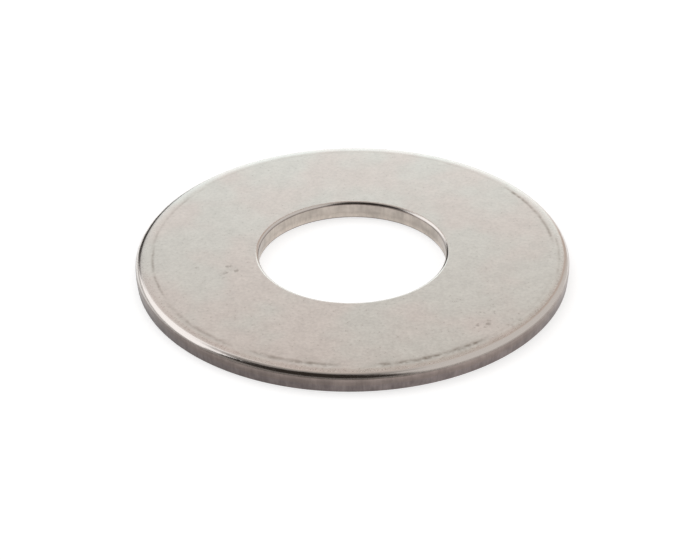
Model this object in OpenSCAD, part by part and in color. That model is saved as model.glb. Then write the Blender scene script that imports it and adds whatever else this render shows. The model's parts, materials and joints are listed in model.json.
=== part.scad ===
// Flat washer: one ring, blanked and pierced from flat steel sheet.
// Both cuts run the same way through the sheet, so both rolled edges are on the top face
// and both torn edges are on the bottom face.
// The origin is at the centre of the bottom face, and +Z runs up the axis of the hole.

/* [Ring] */
// Outside diameter
outer_d = 38.1; // [30:0.1:50]
// Diameter of the hole at its tightest
hole_d = 16.5; // [12:0.1:20]
// Thickness of the sheet
thickness = 1.65; // [1.2:0.01:3]

/* [Rolled edge at the rim] */
// How far in from the rim the top face starts to roll down
rim_roll_w = 0.6; // [0.3:0.05:0.6]
// Radius of the roll
rim_roll_r = 0.65; // [0.65:0.05:1.2]

/* [Rolled edge at the hole] */
// How far out from the hole the top face starts to roll down
hole_roll_w = 0.3; // [0.1:0.02:0.3]
// Radius of the roll
hole_roll_r = 0.32; // [0.32:0.02:0.6]

/* [Pulled-down strip] */
// Width of the strip between the rim and the faint ring mark on the top face
strip_w = 1.4; // [1:0.05:2.5]
// How far the strip has fallen where the rolled edge starts
strip_fall = 0.03; // [0.01:0.01:0.05]

/* [Cut walls] */
// Share of the thickness, from the top, that was cut smooth before the metal tore
smooth_share = 0.56; // [0.5:0.01:0.8]
// How far the torn part of the rim leans inwards
rim_torn_lean = 0.05; // [0.01:0.01:0.1]
// How far the torn part of the hole opens outwards
hole_torn_lean = 0.1; // [0.01:0.01:0.15]
// Size of the worn break on each bottom edge
bottom_break = 0.06; // [0.02:0.01:0.1]

/* [Hidden] */

outer_r = outer_d / 2;
hole_r = hole_d / 2;
ring_mark_r = outer_r - strip_w;
rim_roll_start = outer_r - rim_roll_w;
hole_roll_start = hole_r + hole_roll_w;
rim_roll_top = thickness - strip_fall;
smooth_bottom = thickness * (1 - smooth_share);
// How far a cutting shape reaches past the face that it cuts
past = 0.5;
arc_steps = 96;
ring_steps = 240;

// Section through one side of the ring, before its two top corners are rolled
module square_cornered_section() {
    polygon([
        [hole_r + hole_torn_lean + bottom_break, 0],
        [outer_r - rim_torn_lean - bottom_break, 0],
        [outer_r - rim_torn_lean, bottom_break],
        [outer_r, smooth_bottom],
        [outer_r, rim_roll_top],
        [rim_roll_start, rim_roll_top],
        [ring_mark_r, thickness],
        [hole_r, thickness],
        [hole_r, smooth_bottom],
        [hole_r + hole_torn_lean, bottom_break]
    ]);
}

// What a rolled edge takes off: the roll starts level at the origin and falls towards +X
module above_roll(roll_w, roll_r) {
    translate([0, -roll_r])
        difference() {
            square([roll_w + past, roll_r + past]);
            circle(r = roll_r, $fn = arc_steps);
        }
}

module flat_washer() {
    color("#c8c3bc")
        rotate_extrude($fn = ring_steps)
            difference() {
                square_cornered_section();
                translate([rim_roll_start, rim_roll_top])
                    above_roll(rim_roll_w, rim_roll_r);
                translate([hole_roll_start, thickness])
                    mirror([1, 0])
                        above_roll(hole_roll_w, hole_roll_r);
            }
}

flat_washer();
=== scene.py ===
"""The looks of a stamped steel flat washer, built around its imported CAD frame."""

import json
import math

import bpy
import numpy as np
from mathutils import Matrix, Vector, noise


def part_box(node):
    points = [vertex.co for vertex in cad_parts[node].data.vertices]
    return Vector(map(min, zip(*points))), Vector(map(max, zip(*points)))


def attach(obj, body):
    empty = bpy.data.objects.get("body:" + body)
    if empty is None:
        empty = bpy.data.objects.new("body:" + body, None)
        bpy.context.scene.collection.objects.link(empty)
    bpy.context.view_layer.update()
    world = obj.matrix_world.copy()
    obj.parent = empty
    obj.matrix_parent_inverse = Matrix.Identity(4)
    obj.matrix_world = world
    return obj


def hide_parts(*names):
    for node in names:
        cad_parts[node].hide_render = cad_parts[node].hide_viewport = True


MM = 0.001
NODE = "flat_washer"

# Lengths in this file are in millimetres unless a comment says otherwise, and angles in degrees.

# Section of the ring. Its main sizes come from the frame instead.
RIM_ROLL_W = 0.6
RIM_ROLL_R = 0.65
HOLE_ROLL_W = 0.3
HOLE_ROLL_R = 0.32
STRIP_W = 1.4
STRIP_FALL = 0.03
RIM_TORN_LEAN = 0.05
HOLE_TORN_LEAN = 0.1
BOTTOM_BREAK = 0.06
# How far each roll's foot is blended into the wall below it
ROLL_FOOT = 0.05
# Slope at which the pulled-down strip has turned into the rim's roll
STRIP_END_SLOPE = 8.0

# Steps round the ring
AROUND = 900
# How close to its edges each flat face has an extra loop of points
BOTTOM_LOOP = 0.03
TOP_LOOP = 0.06
# How far inside the ring mark the top face keeps its fine steps
FINE_STEPS_INSIDE = 0.45

# Wear: how far the line between smooth and torn metal wanders, in broad and in fine waves, and the
# scale of the torn walls' ridges, of the rolls' dents and nicks, and of the top face's waves
LINE_WANDER = (0.07, 0.04)
RIDGE_DEPTH = 0.014
DENT_DEPTH = 0.006
NICK_DEPTH = 0.010
FACE_WAVE = 0.0025

# Tilts between which the satin face turns into a polished roll, and the roll into a cut wall
FACE_TO_ROLL = (4, 14)
ROLL_TO_WALL = (50, 66)
# How polished the pulled-down strip would be at the rim, rising from nothing at the ring mark
STRIP_POLISH = 0.25

# Stretches of the ring mark pressed into the top face: first and last angle, depth, half width,
# how much grime lies in it, and how far it strays outwards from the circle
MARK_STRETCHES = (
    (140, 178, 0.003, 0.12, 0.24, 0.00),
    (178, 204, 0.007, 0.11, 0.55, -0.12),
    (208, 236, 0.007, 0.20, 0.42, 0.07),
    (242, 265, 0.008, 0.27, 0.58, -0.05),
    (275, 307, 0.009, 0.24, 0.88, 0.06),
    (309, 345, 0.003, 0.14, 0.14, 0.12),
    (346, 366, 0.004, 0.11, 0.32, 0.50),
    (364, 396, 0.007, 0.14, 0.58, 0.14),
    (398, 500, 0.003, 0.12, 0.12, 0.15),
)
MARK_END_SOFTNESS = 5.0
# Places on the top face where dark specks have gathered: angle, distance from the axis and reach
SPECK_CLUSTERS = (
    (190, 13.5, 1.5),
    (196, 11.0, 1.5),
    (235, 9.5, 1.0),
    (316, 16.0, 3.2),
    (318, 12.5, 1.0),
)


# ---------------------------------------------------------------- sizes from the frame

def read_sizes(record):
    """The ring's main sizes, from the frame's box and the record's bore mount."""
    low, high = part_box(NODE)
    bore = next(mount for mount in record["mounts"] if mount["name"] == "bore")
    bore_z = bore["pos_m"][2] / MM
    half_wall = bore["dims"]["length_mm"] / 2
    return {
        "outer_r": (high[0] - low[0]) / 2 / MM,
        "hole_r": bore["dims"]["r_mm"],
        "thickness": high[2] / MM,
        "torn_top": bore_z - half_wall,
    }


# ---------------------------------------------------------------- section of the ring

def stretch(first, last, steps):
    """Points from first to last, without the last one, so that stretches join end to end."""
    return [
        tuple(a + (b - a) * i / steps for a, b in zip(first, last))
        for i in range(steps)
    ]


def roll(width, radius, first_slope, steps):
    """A rolled edge as (distance run, fall) pairs, with its foot blended towards the wall."""
    last_angle = math.asin(width / radius)
    arc = []
    for i in range(steps):
        angle = first_slope + (last_angle - first_slope) * i / steps
        arc.append((radius * math.sin(angle), radius * (1 - math.cos(angle))))
    foot_start = arc[-1]
    foot_end = (width, radius * (1 - math.cos(last_angle)) + ROLL_FOOT)
    corner = (width, radius * (1 - math.cos(last_angle)) - ROLL_FOOT / 2)
    for i in range(1, 4):
        s = i / 4
        arc.append(tuple(
            (1 - s) ** 2 * a + 2 * s * (1 - s) * b + s * s * c
            for a, b, c in zip(foot_start, corner, foot_end)
        ))
    return arc, foot_end


def section(size):
    """The ring's section as (radius, height, part of the surface), once round from the bottom face."""
    outer_r, hole_r = size["outer_r"], size["hole_r"]
    top, torn_top = size["thickness"], size["torn_top"]
    mark_r = outer_r - STRIP_W
    rim_foot_r = outer_r - RIM_TORN_LEAN
    hole_foot_r = hole_r + HOLE_TORN_LEAN
    end_slope = math.radians(STRIP_END_SLOPE)
    rim_roll, rim_roll_end = roll(RIM_ROLL_W, RIM_ROLL_R, end_slope, 14)
    hole_roll, hole_roll_end = roll(HOLE_ROLL_W, HOLE_ROLL_R, 0.0, 9)
    rim_roll_start, rim_roll_top = outer_r - RIM_ROLL_W, top - STRIP_FALL
    hole_roll_start = hole_r + HOLE_ROLL_W
    bottom_in = (hole_foot_r + BOTTOM_BREAK, 0.0)
    bottom_out = (rim_foot_r - BOTTOM_BREAK, 0.0)
    bottom_in_loop = (bottom_in[0] + BOTTOM_LOOP, 0)
    bottom_out_loop = (bottom_out[0] - BOTTOM_LOOP, 0)
    top_loop = (hole_roll_start + TOP_LOOP, top)

    # The strip falls ever faster from the ring mark, and meets the roll at the roll's own slope
    strip_run = STRIP_W - RIM_ROLL_W + rim_roll[0][0]
    strip_drop = STRIP_FALL + rim_roll[0][1]
    power = math.tan(end_slope) * strip_run / strip_drop

    points = []

    def run(name, pairs):
        points.extend((r, z, name) for r, z in pairs)

    run("bottom", stretch(bottom_in, bottom_in_loop, 1))
    run("bottom", stretch(bottom_in_loop, bottom_out_loop, 10))
    run("bottom", stretch(bottom_out_loop, bottom_out, 1))
    run("break", stretch(bottom_out, (rim_foot_r, BOTTOM_BREAK), 3))
    run("rim_torn", stretch((rim_foot_r, BOTTOM_BREAK), (outer_r, torn_top), 9))
    run("rim_wall", stretch((outer_r, torn_top), (outer_r, rim_roll_top - rim_roll_end[1]), 5))
    run("rim_roll", [(outer_r, rim_roll_top - rim_roll_end[1])])
    run("rim_roll", [(rim_roll_start + x, rim_roll_top - z) for x, z in reversed(rim_roll)])
    strip = stretch((strip_run,), (-FINE_STEPS_INSIDE,), 24)[1:]
    run("strip", [(mark_r + x, top - strip_drop * (max(x, 0) / strip_run) ** power) for (x,) in strip])
    run("top", stretch((mark_r - FINE_STEPS_INSIDE, top), top_loop, 9))
    run("top", stretch(top_loop, (hole_roll_start, top), 2))
    run("hole_roll", [(hole_roll_start - x, top - z) for x, z in hole_roll])
    run("hole_wall", stretch((hole_r, top - hole_roll_end[1]), (hole_r, torn_top), 5))
    run("hole_torn", stretch((hole_r, torn_top), (hole_foot_r, BOTTOM_BREAK), 8))
    run("break", stretch((hole_foot_r, BOTTOM_BREAK), bottom_in, 3))
    return points


def section_tilt(points):
    """How far the surface tilts from level at each section point: 0 on the top face, 90 on a wall."""
    spots = np.array([(r, z) for r, z, _ in points])
    along = np.roll(spots, -1, axis=0) - np.roll(spots, 1, axis=0)
    return np.degrees(np.arccos(-along[:, 0] / np.hypot(along[:, 0], along[:, 1])))


# ---------------------------------------------------------------- wear and the mesh

def perlin(points, scale, seed):
    """Perlin noise from -1 to 1 at each point. scale is one number or one for each axis."""
    spots = points * scale + np.array((seed * 17.3, seed * 5.1, seed * 9.7))
    return np.array([noise.noise(Vector(p)) for p in spots.reshape(-1, 3)]).reshape(points.shape[:-1])


def press_mark(where, angle, mark_r):
    """How deep the ring mark is at each spot, and how much grime lies in it."""
    degrees = np.degrees(angle)[:, None]
    out = np.hypot(where[..., 0], where[..., 1]) - mark_r + 0.04 * perlin(where, 0.8, 7)
    patchy = np.clip(0.85 + 0.6 * perlin(where, 1.1, 8) + 0.35 * perlin(where, 3.3, 9), 0, 1.3)
    depth, grime = np.zeros_like(out), np.zeros_like(out)
    for first, last, deep, half_width, dirty, stray in MARK_STRETCHES:
        middle, half = (first + last) / 2, (last - first) / 2
        away = np.abs((degrees - middle + 180) % 360 - 180)
        present = np.clip((half - away) / MARK_END_SOFTNESS + 0.5, 0, 1)
        band = present * patchy * np.exp(-((out - stray) / half_width) ** 2)
        depth = np.maximum(depth, deep * band)
        grime = np.maximum(grime, dirty * band)
    return depth, grime


class WornRing:
    """The lathed ring: a row of points for each step round, and a column for each section point."""

    def __init__(self, size):
        points = section(size)
        self.size = size
        self.mark_r = size["outer_r"] - STRIP_W
        self.part = np.array([name for _, _, name in points])
        self.tilt = section_tilt(points)
        self.section_r, self.section_z = np.array([(r, z) for r, z, _ in points]).T
        self.angle = np.linspace(0, 2 * math.pi, AROUND, endpoint=False)
        self.radius = np.tile(self.section_r, (AROUND, 1))
        self.height = np.tile(self.section_z, (AROUND, 1))
        self.grime = np.zeros_like(self.radius)

    def on(self, *parts):
        """Which section points lie on the named parts of the surface."""
        return np.isin(self.part, parts)

    def positions(self):
        cos, sin = np.cos(self.angle)[:, None], np.sin(self.angle)[:, None]
        return np.stack((self.radius * cos, self.radius * sin, self.height), axis=-1)

    def wander_wall_lines(self):
        """The line between the smooth and the torn part of each wall wanders up and down."""
        broad, fine = LINE_WANDER
        for torn, wall in (("rim_torn", "rim_wall"), ("hole_torn", "hole_wall")):
            both = self.on(torn, wall)
            z = self.height[:, both]
            line = self.positions()[:, self.on(wall)][:, :1]
            wander = broad * perlin(line, 0.9, 1) + fine * perlin(line, 2.6, 2)
            lift = np.interp(z, (z.min(), self.size["torn_top"], z.max()), (0, 1, 0))
            self.height[:, both] = z + wander * lift

    def ridge_torn_walls(self):
        """Torn walls are ridged up and down."""
        for torn, outwards in (("rim_torn", 1), ("hole_torn", -1)):
            here = self.on(torn)
            where = self.positions()[:, here]
            ridges = perlin(where, (3.2, 3.2, 0.9), 3) + 0.6 * perlin(where, (6.5, 6.5, 2.0), 4)
            share = np.interp(where[..., 2], (0, BOTTOM_BREAK, self.size["torn_top"]), (0.3, 1, 0.1))
            self.radius[:, here] -= outwards * RIDGE_DEPTH * share * (ridges * 0.5 + 0.5)

    def dent_rolls(self):
        """Tumbling has left the rolls slightly uneven, with a few soft nicks."""
        for name, outwards in (("rim_roll", 1), ("hole_roll", -1)):
            here = self.on(name)
            where = self.positions()[:, here]
            dent = DENT_DEPTH * np.clip(perlin(where, 1.2, 5) + 0.2, 0, 1)
            dent += NICK_DEPTH * np.clip(perlin(where, 2.2, 6) - 0.4, 0, 1)
            dent *= np.interp(self.tilt[here], (8, 30, 60, 80), (0, 1, 1, 0))
            self.radius[:, here] -= outwards * 0.5 * dent
            self.height[:, here] -= dent

    def press_ring_mark(self):
        """The ring mark is pressed in unevenly, and grime lies in it."""
        flat = self.on("strip", "top")
        depth, grime = press_mark(self.positions()[:, flat], self.angle, self.mark_r)
        self.height[:, flat] -= depth
        self.grime[:, flat] = grime

    def wave_top_face(self):
        """The top face isn't quite flat, and the smooth walls take that up."""
        smooth_wall = (self.size["torn_top"], self.size["thickness"] - STRIP_FALL)
        share = np.interp(self.section_z, smooth_wall, (0, 1))
        self.height += share * FACE_WAVE * (perlin(self.positions(), 0.22, 10) - 1)

    def masks(self):
        """What the material reads at each point, by name."""
        out_on_strip = np.clip((self.section_r - self.mark_r) / STRIP_W, 0, 1) * (self.tilt < 45)
        polish = np.interp(self.tilt, (*FACE_TO_ROLL, *ROLL_TO_WALL), (0, 1, 1, 0))
        across = {
            "rolled": np.maximum(polish, STRIP_POLISH * out_on_strip),
            "sheared": np.interp(self.tilt, ROLL_TO_WALL, (0, 1)) * ~self.on("bottom", "strip", "top"),
            "torn": self.on("rim_torn", "hole_torn", "break") * 1.0,
            "bore": self.on("hole_wall", "hole_torn") * 1.0,
        }
        masks = {name: np.tile(values, (AROUND, 1)) for name, values in across.items()}
        return {**masks, "grime": self.grime}

    def mesh(self):
        """One closed mesh in metres that carries the masks."""
        count = len(self.part)
        here = np.arange(AROUND)[:, None] * count + np.arange(count)
        right = np.roll(here, -1, axis=0)
        quads = np.stack((here, right, np.roll(right, -1, axis=1), np.roll(here, -1, axis=1)), axis=-1)
        mesh = bpy.data.meshes.new("washer_ring")
        mesh.from_pydata((self.positions() * MM).reshape(-1, 3), [], quads.reshape(-1, 4).tolist())
        mesh.shade_smooth()
        for name, values in self.masks().items():
            layer = mesh.attributes.new(name, "FLOAT", "POINT")
            layer.data.foreach_set("value", values.astype(np.float32).ravel())
        mesh.validate()
        return mesh


def build_ring(size):
    """The washer's one visible piece, with its wear."""
    worn = WornRing(size)
    worn.wander_wall_lines()
    worn.ridge_torn_walls()
    worn.dent_rolls()
    worn.press_ring_mark()
    worn.wave_top_face()
    ring = bpy.data.objects.new("washer_ring", worn.mesh())
    bpy.context.scene.collection.objects.link(ring)
    return ring


# ---------------------------------------------------------------- node helper

class Graph:
    """Adds nodes to one tree, each fed and linked in one call."""

    def __init__(self, tree):
        self.tree = tree
        tree.nodes.clear()

    def node(self, kind, inputs=None, **settings):
        node = self.tree.nodes.new(kind)
        for name, value in settings.items():
            setattr(node, name, value)
        for name, value in (inputs or {}).items():
            if isinstance(value, bpy.types.NodeSocket):
                self.tree.links.new(value, node.inputs[name])
            else:
                node.inputs[name].default_value = value
        return node

    def math(self, operation, first, second=0.0, clamp=False):
        node = self.node("ShaderNodeMath", {0: first, 1: second}, operation=operation, use_clamp=clamp)
        return node.outputs[0]

    def vector(self, operation, *inputs):
        """Vector maths that gives a vector."""
        node = self.node("ShaderNodeVectorMath", dict(enumerate(inputs)), operation=operation)
        return node.outputs["Vector"]

    def measure(self, operation, first, second):
        """Vector maths that gives a number."""
        node = self.node("ShaderNodeVectorMath", {0: first, 1: second}, operation=operation)
        return node.outputs["Value"]

    def scaled(self, vector, factor):
        """A vector or a colour times a number."""
        node = self.node("ShaderNodeVectorMath", {0: vector, "Scale": factor}, operation="SCALE")
        return node.outputs["Vector"]

    def remap(self, value, low, high, low_out=0.0, high_out=1.0):
        """value from low to high becomes low_out to high_out, with smooth ends."""
        inputs = {"Value": value, "From Min": low, "From Max": high, "To Min": low_out, "To Max": high_out}
        node = self.node("ShaderNodeMapRange", inputs, interpolation_type="SMOOTHSTEP")
        return node.outputs["Result"]

    def soft_step(self, value, edge, soft):
        """0 below the edge and 1 above it. A negative softness turns it round."""
        low, high = edge - abs(soft), edge + abs(soft)
        return self.remap(value, low, high, *((0.0, 1.0) if soft > 0 else (1.0, 0.0)))

    def noise(self, vector, scale, detail=3.0, roughness=0.5, output="Fac"):
        inputs = {"Vector": vector, "Scale": scale, "Detail": detail, "Roughness": roughness}
        return self.node("ShaderNodeTexNoise", inputs).outputs[output]

    def mix(self, factor, first, second):
        inputs = {"Factor": factor, 6: first, 7: second}
        return self.node("ShaderNodeMix", inputs, data_type="RGBA").outputs[2]

    def mix_numbers(self, factor, first, second):
        inputs = {"Factor": factor, 2: first, 3: second}
        return self.node("ShaderNodeMix", inputs, data_type="FLOAT").outputs[0]

    def attribute(self, name):
        return self.node("ShaderNodeAttribute", attribute_name=name).outputs["Fac"]


# ---------------------------------------------------------------- materials

WARM_FACE = (0.640, 0.600, 0.578, 1)
COOL_FACE = (0.626, 0.622, 0.598, 1)
SPECK_COLOUR = (0.20, 0.17, 0.145, 1)
GRIME_COLOUR = (0.20, 0.155, 0.12, 1)
POLISHED = (0.69, 0.66, 0.635, 1)
# The darkest and the lightest streaks of each cut wall. The rim's two wall colours carry painted shade:
# they are the same cut metal as the hole's wall, darkened far below it for the shaded floor that the rim's
# wall mirrors.
SHADED_SMOOTH_WALL = ((0.184, 0.151, 0.138, 1), (0.214, 0.178, 0.163, 1))
SHADED_TORN_WALL = ((0.174, 0.146, 0.141, 1), (0.228, 0.194, 0.187, 1))
BORE_WALL = ((0.40, 0.355, 0.315, 1), (0.47, 0.42, 0.375, 1))
ACRYLIC = ((0.49, 0.495, 0.50, 1), (0.51, 0.515, 0.52, 1))


def add_specks(g, spot, thickness):
    """Faint specks of bent outline, larger and stronger in their clusters, as (mask, strength)."""
    gathered = 0.0
    for degrees, r, reach in SPECK_CLUSTERS:
        a = math.radians(degrees)
        away = g.measure("DISTANCE", spot, (r * math.cos(a), r * math.sin(a), thickness))
        gathered = g.math("ADD", gathered, g.remap(away, 0.3 * reach, reach, 1.0, 0.0), clamp=True)
    bend = g.vector("SUBTRACT", g.noise(spot, 4.0, output="Color"), (0.5, 0.5, 0.5))
    bent = g.vector("MULTIPLY_ADD", bend, (0.5, 0.5, 0.5), spot)
    cells = g.node("ShaderNodeTexVoronoi", {"Vector": bent, "Scale": 1.4, "Randomness": 1.0})
    size_of_speck = g.remap(g.noise(spot, 0.4), 0.50, 0.70, 0.015, 0.20)
    size_of_speck = g.math("ADD", size_of_speck, g.math("MULTIPLY", gathered, 0.22))
    speck = g.remap(g.math("DIVIDE", cells.outputs["Distance"], size_of_speck), 0.3, 1.3, 1.0, 0.0)
    return speck, g.remap(gathered, 0.0, 1.0, 0.30, 0.48)


def face_colour(g, spot, blotches, grain):
    """The satin faces: warm and cool patches, with lighter and darker blotches and grain."""
    clouds = g.noise(spot, 0.16, 2.0)
    face = g.mix(g.remap(clouds, 0.38, 0.62), WARM_FACE, COOL_FACE)
    blotch_shade = g.remap(blotches, 0.2, 0.8, -0.05, 0.05)
    grain_shade = g.remap(grain, 0.25, 0.75, -0.09, 0.09)
    return g.scaled(face, g.math("ADD", g.math("ADD", blotch_shade, grain_shade), 1.0))


def wall_colours(g, spot, torn, streaks, blotches):
    """The streaky cut walls: the rim's, smooth above and torn below, and the hole's, each with painted
    shade and painted light laid over it.
    """
    streak = g.remap(streaks, 0.3, 0.7)
    across, _, height = g.node("ShaderNodeSeparateXYZ", {0: spot}).outputs
    patches = g.remap(blotches, 0.35, 0.65, 0.88, 1.12)
    rim_wall = g.mix(torn, g.mix(streak, *SHADED_SMOOTH_WALL), g.mix(streak, *SHADED_TORN_WALL))
    bore_wall = g.mix(streak, *BORE_WALL)
    # Painted shade and painted light: the rim's wall is darkened on its -X side and lightened towards its
    # top, for how light falls on it
    rim_wall = g.scaled(rim_wall, g.remap(across, -19.0, 19.0, 0.72, 1.17))
    rim_wall = g.scaled(rim_wall, g.remap(height, 0.85, 1.25, 1.0, 1.32))
    # Painted light: the hole's wall is lightened towards its foot, against the shade that falls there, and
    # lightened on its -X side
    bore_wall = g.scaled(bore_wall, g.remap(height, 0.10, 0.75, 1.35, 1.0))
    bore_wall = g.scaled(bore_wall, g.remap(across, -8.0, 2.0, 1.13, 1.0))
    return g.scaled(rim_wall, patches), g.scaled(bore_wall, patches)


def make_steel(thickness):
    """Tumbled sheet: satin speckled faces, polished rolls, cut walls darkened and lightened with painted
    shade and painted light, and a grimy ring mark.
    """
    material = bpy.data.materials.new("tumbled_steel")
    material.use_nodes = True
    g = Graph(material.node_tree)
    spot = g.scaled(g.node("ShaderNodeTexCoord").outputs["Object"], 1 / MM)
    rolled, sheared = g.attribute("rolled"), g.attribute("sheared")
    torn, grime, bore = g.attribute("torn"), g.attribute("grime"), g.attribute("bore")
    blotches = g.noise(spot, 0.75, 5.0, 0.6)
    grain = g.noise(spot, 3.5, 4.0, 0.7)
    streaks = g.noise(g.vector("MULTIPLY", spot, (1, 1, 0.2)), 4.0, 5.0, 0.65)
    smear = g.math("MULTIPLY", grime, g.remap(g.noise(spot, 2.6, 4.0), 0.3, 0.6, 0.35, 1.0), clamp=True)
    speck, speck_strength = add_specks(g, spot, thickness)

    face = face_colour(g, spot, blotches, grain)
    face = g.mix(g.math("MULTIPLY", speck, speck_strength), face, SPECK_COLOUR)
    rim_wall, bore_wall = wall_colours(g, spot, torn, streaks, blotches)
    colour = g.mix(smear, face, GRIME_COLOUR)
    colour = g.mix(rolled, colour, POLISHED)
    colour = g.mix(g.math("MAXIMUM", sheared, torn), colour, rim_wall)
    colour = g.mix(bore, colour, bore_wall)

    roughness = g.remap(grain, 0.25, 0.75, 0.27, 0.34)
    roughness = g.math("ADD", roughness, g.math("MULTIPLY", smear, 0.2))
    roughness = g.mix_numbers(rolled, roughness, 0.16)
    roughness = g.mix_numbers(sheared, roughness, 0.30)
    roughness = g.mix_numbers(torn, roughness, 0.42)

    # Grain on the faces only, ridges on the torn walls, and shallow pits at the specks
    relief = g.math("MULTIPLY", g.math("MULTIPLY", grain, 0.5), g.remap(rolled, 0.0, 0.1, 1.0, 0.0))
    relief = g.math("ADD", relief, g.math("MULTIPLY", g.math("MULTIPLY", torn, streaks), 3.0))
    relief = g.math("SUBTRACT", relief, g.math("MULTIPLY", speck, 0.5))
    bump = g.node("ShaderNodeBump", {"Height": relief, "Strength": 0.12, "Distance": 0.02 * MM})

    shader = g.node("ShaderNodeBsdfPrincipled", {
        "Base Color": colour, "Metallic": 1.0, "Roughness": roughness, "Normal": bump.outputs[0],
    })
    g.node("ShaderNodeOutputMaterial", {"Surface": shader.outputs[0]})
    return material


def make_floor_material():
    """White acrylic, lit softly from below like a light table."""
    material = bpy.data.materials.new("lit_acrylic")
    material.use_nodes = True
    g = Graph(material.node_tree)
    coordinates = g.node("ShaderNodeTexCoord").outputs["Object"]
    shader = g.node("ShaderNodeBsdfPrincipled", {
        "Base Color": g.mix(g.noise(coordinates, 900.0, 4.0), *ACRYLIC),
        "Roughness": 0.9, "Specular IOR Level": 0.1,
        "Emission Color": (1.0, 1.0, 1.0, 1), "Emission Strength": 0.68,
    })
    g.node("ShaderNodeOutputMaterial", {"Surface": shader.outputs[0]})
    return material


# ---------------------------------------------------------------- studio

# What surrounds the ring, by direction: azimuths count from +X towards +Y, and elevations up from the
# horizon. Where nothing else is laid, the room has this radiance.
ROOM = (0.36, 0.33, 0.31)
# The dark round patch over the camera: azimuth, elevation, radius, softness and radiance
DARK_PATCH = (240, 80, 10, 8, (0.030, 0.024, 0.020))
# Box-shaped patches, each laid over the ones before: first and last azimuth with the softness of each,
# lowest and highest elevation with the softness of each, and radiance
BOX_PATCHES = {
    "dark_side": ((170, 5), (302, 9), (33, 6), (95, 5), (0.030, 0.024, 0.020)),
    "right_card": ((-55, 6), (70, 10), (-60, 5), (76, 8), (0.74, 0.70, 0.67)),
    "high_back": ((62, 16), (114, 8), (-60, 5), (68, 18), (0.73, 0.65, 0.60)),
    "middle_back": ((62, 16), (114, 8), (-60, 5), (42, 5), (0.49, 0.35, 0.28)),
    "low_back": ((72, 10), (112, 8), (-60, 5), (30.5, 8), (1.60, 1.71, 1.70)),
    "softbox": ((108, 12), (188, 3), (18, 5), (55, 5), (1.34, 1.31, 1.30)),
    "horizon": ((75, 6), (300, 6), (-95, 2), (10, 5), (1.0, 1.0, 0.99)),
    "dark_gap": ((103, 3), (123, 4), (-60, 5), (29, 5), (0.040, 0.035, 0.030)),
}

# Steps round the floor, and its rings of points, in outer radii of the washer
FLOOR_STEPS = 96
FLOOR_RINGS = (2, 8, 60)
# How far the floor lies below the washer
FLOOR_GAP = 0.01

# The overhead light: where it is and how wide, in metres, and its power in watts
OVERHEAD_AT = (-0.12, 0.18, 0.6)
OVERHEAD_WIDTH = 0.6
OVERHEAD_POWER = 1.3


def direction_to(azimuth, elevation=0.0):
    a, e = math.radians(azimuth), math.radians(elevation)
    return (math.cos(e) * math.cos(a), math.cos(e) * math.sin(a), math.sin(e))


def lay_box_patch(g, light, direction, elevation, patch):
    """Lay one box-shaped patch of light, or of darkness, over the light so far."""
    (first, first_soft), (last, last_soft), (low, low_soft), (high, high_soft), radiance = patch
    middle = (first + last) / 2
    half = math.radians(last - first) / 2
    ahead = g.measure("DOT_PRODUCT", direction, direction_to(middle))
    aside = g.measure("DOT_PRODUCT", direction, direction_to(middle + 90))
    turn = g.math("ARCTAN2", aside, ahead)
    amount = g.soft_step(turn, -half, math.radians(first_soft))
    for value, edge, soft in (
        (turn, half, -math.radians(last_soft)),
        (elevation, math.radians(low), math.radians(low_soft)),
        (elevation, math.radians(high), -math.radians(high_soft)),
    ):
        amount = g.math("MULTIPLY", amount, g.soft_step(value, edge, soft))
    return g.mix(amount, light, (*radiance, 1))


def lay_round_patch(g, light, direction, patch):
    """Lay one round patch over the light so far."""
    azimuth, elevation, radius, soft, radiance = patch
    facing = g.measure("DOT_PRODUCT", direction, direction_to(azimuth, elevation))
    amount = g.soft_step(g.math("ARCCOSINE", facing), math.radians(radius), -math.radians(soft))
    return g.mix(amount, light, (*radiance, 1))


def make_world():
    """The room that the metal mirrors, laid patch by patch over an even grey."""
    world = bpy.data.worlds.new("studio")
    world.use_nodes = True
    bpy.context.scene.world = world
    g = Graph(world.node_tree)
    direction = g.node("ShaderNodeTexCoord").outputs["Generated"]
    elevation = g.math("ARCSINE", g.node("ShaderNodeSeparateXYZ", {0: direction}).outputs["Z"])
    light = lay_round_patch(g, (*ROOM, 1), direction, DARK_PATCH)
    for patch in BOX_PATCHES.values():
        light = lay_box_patch(g, light, direction, elevation, patch)
    background = g.node("ShaderNodeBackground", {"Color": light})
    g.node("ShaderNodeOutputWorld", {"Surface": background.outputs[0]})


def make_floor(outer_r):
    """A round card far wider than the ring, flat under it."""
    vertices = [(0, 0, 0)]
    for r in FLOOR_RINGS:
        for i in range(FLOOR_STEPS):
            angle = 2 * math.pi * i / FLOOR_STEPS
            vertices.append((outer_r * r * math.cos(angle), outer_r * r * math.sin(angle), 0))
    faces = [(0, 1 + i, 1 + (i + 1) % FLOOR_STEPS) for i in range(FLOOR_STEPS)]
    for ring in range(len(FLOOR_RINGS) - 1):
        start = 1 + ring * FLOOR_STEPS
        after = start + FLOOR_STEPS
        for i in range(FLOOR_STEPS):
            j = (i + 1) % FLOOR_STEPS
            faces.append((start + i, after + i, after + j, start + j))
    mesh = bpy.data.meshes.new("floor")
    mesh.from_pydata(vertices, [], faces)
    mesh.materials.append(make_floor_material())
    floor = bpy.data.objects.new("floor", mesh)
    bpy.context.scene.collection.objects.link(floor)
    floor.location.z = -FLOOR_GAP * MM


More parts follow.
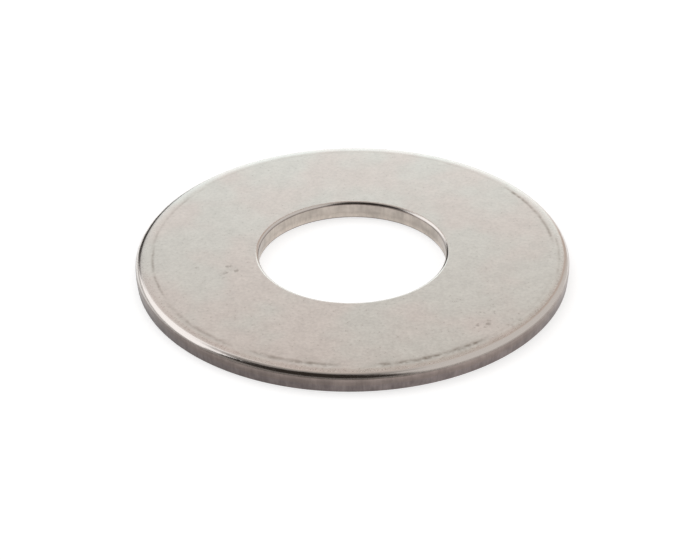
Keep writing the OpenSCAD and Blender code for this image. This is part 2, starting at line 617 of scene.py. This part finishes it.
def make_overhead_light():
    """A wide soft light for the floor. The metal doesn't mirror it."""
    data = bpy.data.lights.new("overhead", "AREA")
    data.shape = "DISK"
    data.size = OVERHEAD_WIDTH
    data.energy = OVERHEAD_POWER
    light = bpy.data.objects.new("overhead", data)
    light.location = OVERHEAD_AT
    light.rotation_euler = (-light.location).to_track_quat("-Z", "Y").to_euler()
    light.visible_glossy = False
    light.visible_camera = False
    bpy.context.scene.collection.objects.link(light)


# ---------------------------------------------------------------- camera

# Distance from the middle of the bottom face, in outer radii
CAMERA_DISTANCE = 9.0
CAMERA_ELEVATION = 32.26
CAMERA_LENS = 99.6
CAMERA_ROLL = 0.72
# Where the camera looks, from the middle of the bottom face: right and down in its own view,
# in outer radii
CAMERA_AIM = (-0.0118, 0.0655)
# Nearest and furthest that it sees, in metres
CAMERA_CLIP = (0.01, 10.0)


def make_camera(outer_r):
    """The photograph's viewpoint: in front of the ring, looking down on it."""
    elevation = math.radians(CAMERA_ELEVATION)
    back = Vector((0, -math.cos(elevation), math.sin(elevation)))
    right = Vector((1, 0, 0))
    up = back.cross(right)
    aim = (right * CAMERA_AIM[0] - up * CAMERA_AIM[1]) * outer_r
    data = bpy.data.cameras.new("camera")
    data.lens = CAMERA_LENS
    data.clip_start, data.clip_end = CAMERA_CLIP
    camera = bpy.data.objects.new("camera", data)
    camera.location = back * CAMERA_DISTANCE * outer_r
    look = (aim - camera.location).to_track_quat("-Z", "Y").to_matrix()
    turned = look @ Matrix.Rotation(math.radians(-CAMERA_ROLL), 3, "Z")
    camera.rotation_euler = turned.to_euler()
    bpy.context.scene.collection.objects.link(camera)
    bpy.context.scene.camera = camera


# ---------------------------------------------------------------- scene

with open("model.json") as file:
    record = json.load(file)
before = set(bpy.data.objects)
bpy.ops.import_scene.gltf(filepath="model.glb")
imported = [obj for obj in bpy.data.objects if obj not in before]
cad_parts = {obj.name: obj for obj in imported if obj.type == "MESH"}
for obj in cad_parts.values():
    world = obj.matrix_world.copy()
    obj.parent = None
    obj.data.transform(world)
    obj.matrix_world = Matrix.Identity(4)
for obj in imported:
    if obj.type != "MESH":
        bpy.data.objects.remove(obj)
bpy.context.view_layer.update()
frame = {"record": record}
sizes = read_sizes(frame["record"])
outer_radius = sizes["outer_r"] * MM

bpy.context.scene.view_settings.view_transform = "Standard"
make_camera(outer_radius)
make_world()
make_overhead_light()
make_floor(outer_radius)

washer = build_ring(sizes)
washer.data.materials.append(make_steel(sizes["thickness"]))
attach(washer, "root")
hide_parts(NODE)
